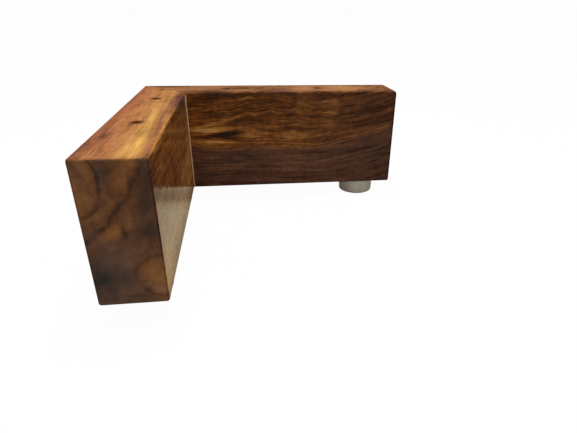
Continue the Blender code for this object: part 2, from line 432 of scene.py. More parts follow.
@dataclass(frozen=True)
class FiguredTimber:
    """Dense brown hardwood with wild figure, planed and sanded, gloss lacquered on its sides.

    Growth layers run along the board and bend round eyes, which gives dark lines and golden lenses.
    The lacquer gives a clear mirror at a low angle. The top, which meets the furniture, stays bare
    and pale; its paleness over the sides is partly bare wood and partly painted light from above.
    Lengths are in grain millimetres, and tones run from 0 for dark to 1 for pale.
    """

    arm: Arm
    origin: Point
    board_width: float
    holes: tuple[Span, ...]
    swirls: tuple[Swirl, ...]
    face_stops: Stops
    heart_stops: Stops
    top_stops: Stops
    top_stain: str
    top_gilt: str
    heart_level: float
    bend: float
    ripple: float
    slope: float
    contrast: float
    # How dark the edges off the top turn: partly wear, partly painted shade on edges that face sideways
    # and down.
    edge_wear_and_shade: float
    sway_depth: float
    wobble_depth: float
    browning: float
    # Soft bars across the grain, and how much lacquer is left in the inner corner.
    bars: Lumps | None = None
    corner_share: float = 1.0
    # Where one kind of face turns into the next, as the normal's share along an axis.
    top_facing: Span = (0.55, 0.75)
    end_facing: Span = (0.5, 0.9)
    side_facing: Span = (0.3, 0.1)
    outer_facing: Span = (0.1, 0.4)
    edge_facing: Span = (0.985, 0.85)
    # Long bends in the layers.
    sway: Lumps = Lumps((90.0, 24.0, 24.0), detail=3.0)
    wobble: Lumps = Lumps((40.0, 8.0, 8.0), detail=3.0)
    bend_span: Span = (100.0, 160.0)
    # Short waves in the layers, by length and share, and the gleam of the fibres on their slopes.
    ripple_waves: tuple[Span, ...] = ((16.5, 0.65), (7.4, 0.28))
    ripple_drift: Lumps = Lumps((34.0, 20.0, 12.0), share=9.0, detail=1.0)
    ripple_rise: Span = (3.0, 20.0)
    ripple_middle: float = 90.0
    ripple_reach: float = 48.0
    ripple_patch: Lumps = Lumps((22.0, 14.0, 9.0), detail=1.0)
    patch_span: Span = (-0.15, 0.15)
    patch_share: Span = (0.3, 1.0)
    gleam_share: float = 0.07
    middle_tone: float = 0.5
    # Clouds, bands, lines and fibres, from coarse to fine.
    streaks: tuple[Streak, ...] = (
        Streak(9.0, 26.0, 26.0, 0.5, 0.15),
        Streak(4.6, 90.0, 60.0, 0.62, 0.3),
        Streak(2.2, 34.0, 20.0, 0.5, 0.0),
        Streak(1.3, 40.0, 16.0, 1.4, 0.0, 0.05),
        Streak(0.55, 12.0, 4.0, 1.0, 0.05, 0.1),
        Streak(3.0, 3.4, 8.0, 0.5, 0.0),
    )
    streak_roughness: float = 0.55
    # End grain: mottle, thin veins, broken rims and clouds of heartwood.
    mottle: Lumps = Lumps((60.0, 5.0, 7.0), share=0.62, detail=6.0, roughness=0.68)
    veins: Lumps = Lumps((60.0, 7.0, 9.0), share=0.09)
    vein_width: float = 0.035
    rim_break: Lumps = Lumps((60.0, 4.0, 6.0))
    rim_span: Span = (-0.12, 0.1)
    rim_strength: Span = (0.3, 1.2)
    end_lift: float = 0.04
    end_heart: float = 0.45
    end_cloud: Lumps = Lumps((60.0, 9.0, 11.0), share=1.2)
    # Heartwood low in the board, with a soft border, and browning towards the free end.
    heart_blur: float = 3.0
    brown_span: Span = (60.0, 140.0)
    # The bare top: grain lines, blotches and the shade that they give.
    grit: Lumps = Lumps((30.0, 1.5, 12.0), share=0.5, detail=4.0, roughness=0.65)
    blotch: Lumps = Lumps((10.0, 3.5, 9.0), share=0.7, detail=4.0, roughness=0.6)
    top_jitter: float = 0.3
    shade_span: Span = (0.0, 0.9)
    shade_share: Span = (0.4, 1.4)
    # Drilled walls, torn grain round the holes' mouths, and dark edges: partly wear, partly painted
    # shade.
    hole_reach: float = 5.6
    tear_out: float = 4.0
    tear_span: Span = (2.4, 4.2)
    torn_share: float = 0.7
    worn_and_shaded_edge: str = "1c0f08"
    torn_colour: str = "6e3f22"
    bored_colour: str = "9a673c"
    # Wood gives no gloss of its own. The lacquer's index is matched to how weak its mirror is head-on.
    wood_ior: float = 1.45
    wood_gloss: float = 0.0
    sheen_span: Span = (0.42, 0.62)
    sheen_grit: float = 0.2
    relief: float = 0.15 * MM
    relief_share: Span = (0.06, 0.31)
    lacquer_share: float = 0.9
    lacquer_ior: float = 1.2
    lacquer_roughness: float = 0.1
    corner_span: Span = (30.0, 66.0)
    scuff_height: float = 16.0
    scuffed_share: float = 0.55
    # Planing waves under the lacquer, which blur its mirror. Drawn coarser than real ones, to show.
    planing: Lumps = Lumps((1.6, 20.0, 3.2), share=0.5)
    planing_depth: float = 0.2 * MM

    def mapping(self) -> dict[str, Point]:
        """Gives the Mapping node's values that turn object metres into grain millimetres.

        Returns:
            The node's inputs by name. The near board is mirrored and turned to run like the far one.
        """
        mirror, turn = (1, 0) if self.arm is Arm.FAR else (-1, math.pi / 2)
        scale = (mirror / MM, 1 / MM, 1 / MM)
        return {"Location": self.origin, "Rotation": (0, 0, turn), "Scale": scale}

    def faces(self, node: AddNode) -> Faces:
        """Tells top, sides, ends and eased edges apart by the way they face.

        Args:
            node: The function that adds a node to the material.

        Returns:
            The shares of each.
        """
        along, outer = ("X", (0, 1, 0)) if self.arm is Arm.FAR else ("Y", (-1, 0, 0))
        facing = node("ShaderNodeNewGeometry", out="Normal")
        level = node(SEPARATE, node(VECTOR, facing, operation="ABSOLUTE")).node.outputs
        upright = node(SEPARATE, facing, out="Z")
        upward = node(RANGE, upright, *self.top_facing, 0.0, 1.0)
        endward = node(RANGE, level[along], *self.end_facing, 0.0, 1.0)
        flat = node(MATH, level["X"], level["Y"], operation="MAXIMUM")
        flat = node(MATH, flat, level["Z"], operation="MAXIMUM")
        outward = node(VECTOR, facing, outer, operation="DOT_PRODUCT", out="Value")
        outward = node(RANGE, outward, *self.outer_facing, 0.0, 1.0)
        downcast = node(RANGE, upright, *self.side_facing, 0.0, 1.0)
        return Faces(
            upward=upward,
            sidelong=node(MATH, 1.0, upward, operation="SUBTRACT"),
            endward=endward,
            lengthwise=node(MATH, 1.0, endward, operation="SUBTRACT"),
            eased=node(RANGE, flat, *self.edge_facing, 0.0, 1.0),
            outlying=node(MATH, downcast, outward, operation="MAXIMUM"),
        )

    def rippled(
        self, node: AddNode, grain: Socket, along: Socket, height: Socket
    ) -> tuple[Socket, Source]:
        """Raises the layers in short waves over the middle of the board, above the heartwood.

        Args:
            node: The function that adds a node to the material.
            grain: The point in grain millimetres.
            along: The place along the board.
            height: The height in the board.

        Returns:
            The height with the waves, and the gleam of the fibres on their slopes.
        """
        add = partial(node, MATH, operation="MULTIPLY_ADD")
        times = partial(node, MATH, operation="MULTIPLY")
        start, end = (self.heart_level + rise for rise in self.ripple_rise)
        curl = node(RANGE, height, start, end, 0.0, self.ripple)
        swell = add(along, 1 / self.ripple_reach, -self.ripple_middle / self.ripple_reach)
        swell = node(MATH, times(times(swell, swell), -1.0), operation="EXPONENT")
        patch = speckle(node, grain, self.ripple_patch)
        patch = node(RANGE, patch, *self.patch_span, *self.patch_share)
        curl = times(times(curl, swell), patch)
        drift = times(speckle(node, grain, self.ripple_drift), self.ripple_drift.share)
        gleam: Source = 0.0
        for length, share in self.ripple_waves:
            phase = add(along, 2 * math.pi / length, drift)
            wave = times(node(MATH, phase, operation="SINE"), share)
            height = add(wave, curl, height)
            slope = times(node(MATH, phase, operation="COSINE"), share)
            gleam = add(slope, curl, gleam)
        return height, gleam

    def offset(self, node: AddNode, point: Socket, swirl: Swirl) -> tuple[Socket, Socket]:
        """Measures how far a point is from a swirl's middle, in shares of its reach.

        Args:
            node: The function that adds a node to the material.
            point: The point in grain millimetres.
            swirl: The swirl.

        Returns:
            The offset, and the square of its length.
        """
        away = node(VECTOR, point, swirl.centre, operation="SUBTRACT")
        if swirl.tilt:
            right, deep, up = node(SEPARATE, away).node.outputs
            up = node(MATH, right, -swirl.tilt, up, operation="MULTIPLY_ADD")
            away = node(COMBINE, right, deep, up)
        away = node(VECTOR, away, swirl.reach, operation="DIVIDE")
        return away, node(VECTOR, away, away, operation="DOT_PRODUCT", out="Value")

    def swirled(
        self, node: AddNode, point: Socket, layer: Socket, tone: Socket
    ) -> tuple[Socket, Socket, Source]:
        """Bends the layers round the swirls, and gives each swirl its tone and stain.

        Args:
            node: The function that adds a node to the material.
            point: The point in grain millimetres.
            layer: The point's height among the layers.
            tone: The tone so far.

        Returns:
            The bent layer, the tone and the stain.
        """
        add = partial(node, MATH, operation="MULTIPLY_ADD")
        times = partial(node, MATH, operation="MULTIPLY")
        stain: Source = 0.0
        for swirl in self.swirls:
            away, square = self.offset(node, point, swirl)
            fall = node(MATH, times(square, -1.0), operation="EXPONENT")
            if swirl.lift:
                layer = add(fall, swirl.lift, layer)
            if swirl.spread:
                layer = add(fall, times(node(SEPARATE, away, out="Z"), -swirl.spread), layer)
            if swirl.tone:
                tone = add(fall, swirl.tone, tone)
            if swirl.heart:
                stain = add(fall, swirl.heart, stain)
        return layer, tone, stain

    def rimmed(
        self, node: AddNode, grain: Socket, point: Socket, tone: Socket, faces: Faces
    ) -> Socket:
        """Draws a dark, broken vein round each swirl that has a rim, on end grain alone.

        Args:
            node: The function that adds a node to the material.
            grain: The point in grain millimetres.
            point: The same point, moved by the wobble.
            tone: The tone so far.
            faces: Which way the point faces.

        Returns:
            The tone with the rims.
        """
        rims = [swirl for swirl in self.swirls if swirl.rim]
        if not rims:
            return tone
        times = partial(node, MATH, operation="MULTIPLY")
        broken = node(RANGE, speckle(node, grain, self.rim_break), *self.rim_span, *self.rim_strength)
        broken = times(broken, faces.endward)
        for swirl in rims:
            # At the rim the square exceeds 1 by twice the distance over the radius.
            radius = (swirl.reach[1] + swirl.reach[2]) / 2
            _, square = self.offset(node, point, swirl)
            edge = node(MATH, square, 1.0, operation="SUBTRACT")
            edge = times(edge, radius / 2 / swirl.rim_width)
            edge = node(MATH, times(times(edge, edge), -1.0), operation="EXPONENT")
            tone = node(MATH, times(edge, broken), -swirl.rim, tone, operation="MULTIPLY_ADD")
        return tone

    def streaked(self, node: AddNode, sheet: Socket, tone: Socket, faces: Faces) -> Socket:
        """Draws the streaks that follow the layers.

        Args:
            node: The function that adds a node to the material.
            sheet: The point as a place along, across and through the layers.
            tone: The tone so far.
            faces: Which way the point faces.

        Returns:
            The tone with the streaks.
        """
        for streak in self.streaks:
            size = (streak.length, streak.width, streak.through)
            drawn = speckle(node, sheet, Lumps(size, roughness=self.streak_roughness))
            drawn = node(MATH, drawn, streak.crest, operation="MINIMUM")
            on_side = streak.on_side * self.contrast
            strength = node(RANGE, faces.lengthwise, 0.0, 1.0, streak.on_end, on_side)
            tone = node(MATH, drawn, strength, tone, operation="MULTIPLY_ADD")
        return tone

    def figure(self, node: AddNode, grain: Socket, faces: Faces) -> Figure:
        """Finds each point's layer, tone and heartwood.

        Args:
            node: The function that adds a node to the material.
            grain: The point in grain millimetres.
            faces: Which way the point faces.

        Returns:
            The figure at the point.
        """
        add = partial(node, MATH, operation="MULTIPLY_ADD")
        times = partial(node, MATH, operation="MULTIPLY")
        swayed = drifted(node, grain, grain, self.sway, self.sway_depth)
        along, depth, height = node(SEPARATE, swayed).node.outputs
        height, gleam = self.rippled(node, grain, along, height)
        place = node(COMBINE, along, depth, height)
        wobbled = drifted(node, grain, place, self.wobble, self.wobble_depth)
        layer = add(depth, self.slope, height)
        tone = add(gleam, self.gleam_share, self.middle_tone)
        layer, tone, stain = self.swirled(node, wobbled, layer, tone)
        tone = self.rimmed(node, grain, wobbled, tone, faces)
        rise = node(RANGE, along, *self.bend_span, 0.0, 1.0)
        layer = add(times(rise, rise), -self.bend, layer)
        tone = self.streaked(node, node(COMBINE, along, layer, depth), tone, faces)
        if self.bars:
            bars = times(speckle(node, wobbled, self.bars), self.bars.share)
            tone = add(bars, times(faces.sidelong, faces.lengthwise), tone)
        mottle = add(speckle(node, wobbled, self.mottle), self.mottle.share, self.end_lift)
        tone = add(mottle, faces.endward, tone)
        vein = node(MATH, speckle(node, wobbled, self.veins), operation="ABSOLUTE")
        vein = node(RANGE, vein, 0.0, self.vein_width, -self.veins.share, 0.0)
        tone = add(vein, faces.endward, tone)
        level, blur = self.heart_level, self.heart_blur
        heart = node(RANGE, layer, level + blur, level - blur, 0.0, 1.0, interpolation_type="SMOOTHSTEP")
        heart = add(node(RANGE, along, *self.brown_span, 0.0, self.browning), 1.0, heart)
        cloud = add(speckle(node, wobbled, self.end_cloud), self.end_cloud.share, self.end_heart)
        heart = add(cloud, faces.endward, heart)
        return Figure(place, wobbled, tone, add(stain, 1.0, heart), stain)

    def colour(self, node: AddNode, figure: Figure, faces: Faces, grit: Socket) -> Socket:
        """Colours the boards: sides and ends by layer, the bare top across its width, paler partly as
        painted light from above.

        Args:
            node: The function that adds a node to the material.
            figure: The figure at the point.
            faces: Which way the point faces.
            grit: Fine grain lines.

        Returns:
            The colour before the holes are drilled.
        """
        blend = partial(node, MIX, data_type="RGBA", out=2)
        add = partial(node, MATH, operation="MULTIPLY_ADD")
        times = partial(node, MATH, operation="MULTIPLY")
        face = node(RAMP, figure.tone, stops=self.face_stops)
        heart = node(RAMP, figure.tone, stops=self.heart_stops)
        side = blend(figure.heart, A_Color=face, B_Color=heart)
        depth = node(SEPARATE, figure.place, out="Y")
        across = add(depth, 1 / self.board_width, times(grit, self.top_jitter))
        top = node(RAMP, across, stops=self.top_stops)
        top = blend(figure.stain, A_Color=top, B_Color=linear(self.top_stain))
        gilt = times(figure.stain, -1.0)
        top = blend(gilt, A_Color=top, B_Color=linear(self.top_gilt))
        blotch = speckle(node, figure.wobbled, self.blotch)
        shade = add(blotch, self.blotch.share, add(grit, self.grit.share, figure.tone))
        shade = node(RANGE, shade, *self.shade_span, *self.shade_share)
        top = node(VECTOR, top, operation="SCALE", Scale=shade)
        # The top's paler colours are partly painted light from above, and the sides' darker ones partly
        # painted shade.
        wood = blend(faces.upward, A_Color=side, B_Color=top)
        # Eased edges that face sideways, down and outward are darkened: partly wear, partly painted
        # shade.
        worn_and_shaded_mask = times(times(faces.eased, faces.outlying), self.edge_wear_and_shade)
        return blend(worn_and_shaded_mask, A_Color=wood, B_Color=linear(self.worn_and_shaded_edge))

    def drilled(
        self, node: AddNode, grain: Socket, wood: Socket, faces: Faces, grit: Socket
    ) -> tuple[Socket, Socket]:
        """Colours the holes' walls and the torn grain round their mouths.

        Args:
            node: The function that adds a node to the material.
            grain: The point in grain millimetres.
            wood: The colour before drilling.
            faces: Which way the point faces.
            grit: Fine grain lines, which make the torn border uneven.

        Returns:
            The colour, and whether the point is on a hole's wall.
        """
        blend = partial(node, MIX, data_type="RGBA", out=2)
        plan = node(VECTOR, grain, (1, 1, 0), operation="MULTIPLY")
        nearest: Source = self.board_width
        for along, depth in self.holes:
            span = node(VECTOR, plan, (along, depth, 0), operation="DISTANCE", out="Value")
            nearest = node(MATH, nearest, span, operation="MINIMUM")
        bored = node(MATH, nearest, self.hole_reach, operation="LESS_THAN")
        bored = node(MATH, bored, faces.sidelong, operation="MULTIPLY")
        torn = node(MATH, grit, self.tear_out, nearest, operation="MULTIPLY_ADD")
        torn = node(RANGE, torn, *self.tear_span, self.torn_share, 0.0)
        torn = node(MATH, torn, faces.upward, operation="MULTIPLY")
        wood = blend(torn, A_Color=wood, B_Color=linear(self.torn_colour))
        return blend(bored, A_Color=wood, B_Color=linear(self.bored_colour)), bored

    def lacquered(self, node: AddNode, grain: Socket, bare: Socket) -> tuple[Socket, Socket]:
        """Lays the lacquer: none on bare wood, less in the inner corner and on the scuffed foot.

        Args:
            node: The function that adds a node to the material.
            grain: The point in grain millimetres.
            bare: How bare the wood is.

        Returns:
            The lacquer's weight, and its normal with the planing waves.
        """
        times = partial(node, MATH, operation="MULTIPLY")
        along, _, height = node(SEPARATE, grain).node.outputs
        coat = node(RANGE, bare, 0.0, 1.0, self.lacquer_share, 0.0)
        coat = times(coat, node(RANGE, along, *self.corner_span, self.corner_share, 1.0))
        coat = times(coat, node(RANGE, height, 0.0, self.scuff_height, self.scuffed_share, 1.0))
        waves = speckle(node, grain, self.planing)
        coat = times(coat, node(MATH, waves, self.planing.share, 1.0, operation="MULTIPLY_ADD"))
        return coat, node("ShaderNodeBump", 1.0, self.planing_depth, Height=waves, out="Normal")

    def build(self) -> bpy.types.Material:
        """Builds the material.

        Returns:
            The timber's material.
        """
        material, tree, shader = new_material(
            f"lacquered_figured_hardwood_{self.arm.value}",
            IOR=self.wood_ior,
            Specular_IOR_Level=self.wood_gloss,
            Coat_IOR=self.lacquer_ior,
            Coat_Roughness=self.lacquer_roughness,
        )
        node = partial(add_node, tree)
        spot = node("ShaderNodeTexCoord", out="Object")
        grain = node("ShaderNodeMapping", spot, **self.mapping())
        faces = self.faces(node)
        figure = self.figure(node, grain, faces)
        grit = speckle(node, figure.place, self.grit)
        wood = self.colour(node, figure, faces, grit)
        wood, bored = self.drilled(node, grain, wood, faces, grit)
        bare = node(MATH, faces.upward, bored, operation="MAXIMUM")
        bare = node(MATH, bare, faces.eased, operation="MAXIMUM")
        coat, planed = self.lacquered(node, grain, bare)
        matt = node(RANGE, bare, 0.0, 1.0, *self.sheen_span)
        matt = node(MATH, grit, self.sheen_grit, matt, operation="MULTIPLY_ADD")
        rough = node(RANGE, bare, 0.0, 1.0, *self.relief_share)
        bump = node("ShaderNodeBump", rough, self.relief, Height=grit, out="Normal")
        feed(tree, shader, Base_Color=wood, Roughness=matt, Normal=bump)
        feed(tree, shader, Coat_Weight=coat, Coat_Normal=planed)
        return material


@dataclass(frozen=True)
class DriedGlue:
    """White wood glue, squeezed out of the mitre and dried: pale and satin, stained by the wood."""

    stops: Stops = ((0.25, "dcac70"), (0.5, "f2cda0"), (0.75, "fbdcb8"))
    lump: float = 5.0 * MM
    detail: float = 3.0
    # The bead is paler towards the top.
    rise: Span = (15.0 * MM, 65.0 * MM)
    rise_share: Span = (-0.08, 0.1)
    roughness: float = 0.4
    ior: float = 1.47
    gloss: float = 0.2

    def build(self) -> bpy.types.Material:
        """Builds the material.

        Returns:
            The glue's material.
        """
        material, tree, shader = new_material(
            "dried_wood_glue", Roughness=self.roughness, IOR=self.ior, Specular_IOR_Level=self.gloss
        )
        node = partial(add_node, tree)
        spot = node("ShaderNodeTexCoord", out="Object")
        stain = node(NOISE, spot, Scale=1 / self.lump, Detail=self.detail)
        height = node(RANGE, node(SEPARATE, spot, out="Z"), *self.rise, *self.rise_share)
        stain = node(MATH, stain, height, operation="ADD")
        feed(tree, shader, Base_Color=node(RAMP, stain, stops=self.stops))
        return material


@dataclass(frozen=True)
class MouldedPolypropylene:
    """Natural polypropylene, injection moulded: off-white, satin, with a faint orange-peel skin."""

    stops: Stops = ((0.3, "ddd8c4"), (0.5, "e9e5d2"), (0.7, "f1eee1"))
    cloud: float = 6.0 * MM
    cloud_detail: float = 3.0
    cloud_span: Span = (0.3, 0.7)
    sheen: Span = (0.38, 0.52)
    skin: float = 0.6 * MM
    skin_detail: float = 2.0
    skin_share: float = 0.12
    skin_depth: float = 0.1 * MM
    ior: float = 1.49

    def build(self) -> bpy.types.Material:
        """Builds the material: clouded colour, uneven sheen and a fine skin.

        Returns:
            The plastic's material.
        """
        material, tree, shader = new_material("moulded_polypropylene", IOR=self.ior)
        node = partial(add_node, tree)
        spot = node("ShaderNodeTexCoord", out="Object")
        cloud = node(NOISE, spot, Scale=1 / self.cloud, Detail=self.cloud_detail)
        skin = node(NOISE, spot, Scale=1 / self.skin, Detail=self.skin_detail)
        colour = node(RAMP, cloud, stops=self.stops)
        sheen = node(RANGE, cloud, *self.cloud_span, *self.sheen)
        bump = node("ShaderNodeBump", self.skin_share, self.skin_depth, Height=skin, out="Normal")
        feed(tree, shader, Base_Color=colour, Roughness=sheen, Normal=bump)
        return material


@dataclass(frozen=True)
class ZincPlatedSteel:
    """Zinc plated steel, barrel plated and passivated: bluish grey with dull clouds."""

    stops: Stops = ((0.3, "8f959b"), (0.55, "b4babd"), (0.75, "cfd0c8"))
    cloud: float = 1.6 * MM
    cloud_detail: float = 4.0
    cloud_span: Span = (0.3, 0.7)
    sheen: Span = (0.45, 0.28)

    def build(self) -> bpy.types.Material:
        """Builds the material: clouded plating with uneven gloss.

        Returns:
            The steel's material.
        """
        material, tree, shader = new_material("zinc_plated_steel", Metallic=1.0)
        node = partial(add_node, tree)
        spot = node("ShaderNodeTexCoord", out="Object")
        cloud = node(NOISE, spot, Scale=1 / self.cloud, Detail=self.cloud_detail)
        sheen = node(RANGE, cloud, *self.cloud_span, *self.sheen)
        feed(tree, shader, Base_Color=node(RAMP, cloud, stops=self.stops), Roughness=sheen)
        return material


@dataclass(frozen=True)
class MilledBeech:
    """Steamed beech, milled and left bare: pinkish tan with short dark flecks along the grain."""

    stops: Stops = ((0.3, "a57a55"), (0.5, "c39a72"), (0.7, "d3b08a"))
    fleck_length: float = 5.0 * MM
    fleck_width: float = 0.7 * MM
    detail: float = 2.0
    roughness: float = 0.7

    def build(self) -> bpy.types.Material:
        """Builds the material, with flecks that run across the mitre, along the dowel.

        Returns:
            The beech's material.
        """
        material, tree, shader = new_material("milled_beech", Roughness=self.roughness)
        node = partial(add_node, tree)
        spot = node("ShaderNodeTexCoord", out="Object")
        scale = (1 / self.fleck_length, 1 / self.fleck_width, 1 / self.fleck_width)
        fleck = node("ShaderNodeMapping", spot, Rotation=(0, 0, -math.pi / 4))
        fleck = node(VECTOR, fleck, scale, operation="MULTIPLY")
        fleck = node(NOISE, fleck, Scale=1.0, Detail=self.detail)
        feed(tree, shader, Base_Color=node(RAMP, fleck, stops=self.stops))
        return material


@dataclass
class Timber:
    """The two mitred boards, with eased edges and the drilled screw holes."""

    record: dict
    edge_round: float = 1.2 * MM
    end_round: float = 2.6 * MM
    edge_segments: int = 6
    glue_gap: float = 0.02 * MM
    hole_diameter: float = 4.4 * MM
    hole_ease: float = 0.1 * MM
    hole_ease_depth: float = 0.3 * MM
    hole_steps: int = 40
    socket_diameter: float = 11.0 * MM
    socket_clearance: float = 0.5 * MM
    drill_overrun: float = 2.0 * MM
    sharp_angle: float = 35.0
    flat_weight: int = 100
    # How far a mark on the end grain runs into the board, in grain millimetres.
    end_reach: float = 14.0
    low: Vector = field(init=False)
    high: Vector = field(init=False)
    width: float = field(init=False)

    def __post_init__(self) -> None:
        """Takes the outer sizes from the frame."""
        near_low, near_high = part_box(Arm.NEAR.value)
        _, far_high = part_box(Arm.FAR.value)
        self.low = near_low
        self.high = far_high
        self.width = near_high.x - near_low.x

    @property
    def inner_corner(self) -> Vector:
        """The corner where the two inner faces meet, at the height of the boards' bottom."""
        return Vector((self.low.x + self.width, self.high.y - self.width, self.low.z))

    def sockets(self, arm: Arm) -> list[tuple[Vector, float]]:
        """Finds the screw holes of one arm.

        Args:
            arm: Which board.

        Returns:
            Each hole's centre at the height of the board's bottom, and the height of its socket's end.
        """
        found = []
        prefix = arm.value.split("_")[0]
        for opening in self.record["physics"]["openings"]:
            if not opening["name"].startswith(prefix):
                continue
            low, high = (Vector(corner) for corner in opening["box_m"])
            middle = (low + high) / 2
            found.append((Vector((middle.x, middle.y, self.low.z)), high.z + self.socket_clearance))
        return found

    def grain_origin(self, arm: Arm) -> Point:
        """Gives the shift that makes a board's outer corner, inner face and bottom its grain's zero.

        Args:
            arm: Which board.

        Returns:
            The shift along, in and up, in grain millimetres.
        """
        inner = self.inner_corner
        along, depth = (-self.low.x, -inner.y) if arm is Arm.FAR else (self.high.y, inner.x)
        return (along / MM, depth / MM, -self.low.z / MM)

    def grain_holes(self, arm: Arm) -> tuple[Span, ...]:
        """Gives the holes of one arm in grain millimetres.

        Args:
            arm: Which board.

        Returns:
            Each hole's place along the board and in from its inner face.
        """
        places = []
        for centre, _ in self.sockets(arm):
            right, down = centre.x - self.low.x, self.high.y - centre.y
            along, depth = (right, self.width - down) if arm is Arm.FAR else (down, self.width - right)
            places.append((along / MM, depth / MM))
        return tuple(places)

    def blank(self) -> bmesh.types.BMesh:
        """Makes the whole L with its edges eased, as it is after gluing and sanding.

        Returns:
            The blank, before it is cut at the mitre and drilled.
        """
        inner = self.inner_corner
        outline = [
            (self.low.x, self.high.y),
            (self.low.x, self.low.y),
            (inner.x, self.low.y),
            (inner.x, inner.y),
            (self.high.x, inner.y),
            (self.high.x, self.high.y),
        ]
        bm = bmesh.new()
        base = bm.faces.new([bm.verts.new((x, y, self.low.z)) for x, y in outline])
        raised = bmesh.ops.extrude_face_region(bm, geom=[base])
        top = [item for item in raised["geom"] if isinstance(item, bmesh.types.BMVert)]
        bmesh.ops.translate(bm, verts=top, vec=(0, 0, self.high.z - self.low.z))
        bmesh.ops.recalc_face_normals(bm, faces=bm.faces)
        weight = bm.edges.layers.float.new("bevel_weight_edge")
        for edge in bm.edges:
            at_far_end = all(abs(corner.co.x - self.high.x) < MERGE_DISTANCE for corner in edge.verts)
            below = all(abs(corner.co.z - self.low.z) < MERGE_DISTANCE for corner in edge.verts)
            if edge.is_convex:
                edge[weight] = 1.0 if at_far_end and not below else self.edge_round / self.end_round
        item = mesh_object(bm, "blank")
        easing = item.modifiers.new("eased_edges", "BEVEL")
        easing.limit_method = "WEIGHT"
        easing.width = self.end_round
        easing.segments = self.edge_segments
        plain_mesh(item)
        eased = bmesh.new()
        eased.from_mesh(item.data)
        bpy.data.objects.remove(item, do_unlink=True)
        return eased

    def drill(self, name: str, centre: Vector, socket_end: float) -> bpy.types.Object:
        """Makes the stepped drill for one screw hole.

        Args:
            name: The drill's name.
            centre: The hole's centre at the board's bottom.
            socket_end: The height at which the wide socket ends.

        Returns:
            A closed cutter.
        """
        over = self.drill_overrun
        hole, socket = self.hole_diameter / 2, self.socket_diameter / 2
        mouth = hole + self.hole_ease
        profile = [
            (0.0, self.high.z + over),
            (mouth + over, self.high.z + over),
            (mouth, self.high.z),
            (hole, self.high.z - self.hole_ease_depth),
            (hole, socket_end),
            (socket, socket_end),
            (socket, self.low.z - over),
            (0.0, self.low.z - over),
        ]
        bm = turned(profile, self.hole_steps, closed=False)
        bmesh.ops.translate(bm, verts=bm.verts, vec=(centre.x, centre.y, 0))
        return mesh_object(bm, name)

    def board(self, arm: Arm) -> bpy.types.Object:
        """Cuts one board from the blank at the mitre and drills it.

        Args:
            arm: Which board.

        Returns:
            The finished board, as a plain mesh.
        """
        side = 1 if arm is Arm.FAR else -1
        normal = Vector((1, 1, 0)).normalized()
        corner = Vector((self.low.x, self.high.y, 0))
        bm = self.blank()
        cut = bmesh.ops.bisect_plane(
            bm,
            geom=bm.verts[:] + bm.edges[:] + bm.faces[:],
            dist=CUT_DISTANCE,
            plane_co=corner + normal * side * self.glue_gap / 2,
            plane_no=-normal * side,
            clear_outer=True,
        )
        rim = [item for item in cut["geom_cut"] if isinstance(item, bmesh.types.BMEdge)]
        bmesh.ops.edgeloop_fill(bm, edges=rim)
        bmesh.ops.recalc_face_normals(bm, faces=bm.faces)
        item = mesh_object(bm, f"{arm.value}_board")
        drills = [
            self.drill(f"{arm.value}_drill_{number}", centre, socket_end)
            for number, (centre, socket_end) in enumerate(self.sockets(arm))
        ]
        cut_away(item, drills)
        smooth_with_sharp_edges(item, self.sharp_angle)
        flat = item.modifiers.new("flat_faces", "WEIGHTED_NORMAL")
        flat.keep_sharp = True
        flat.weight = self.flat_weight
        return plain_mesh(item)

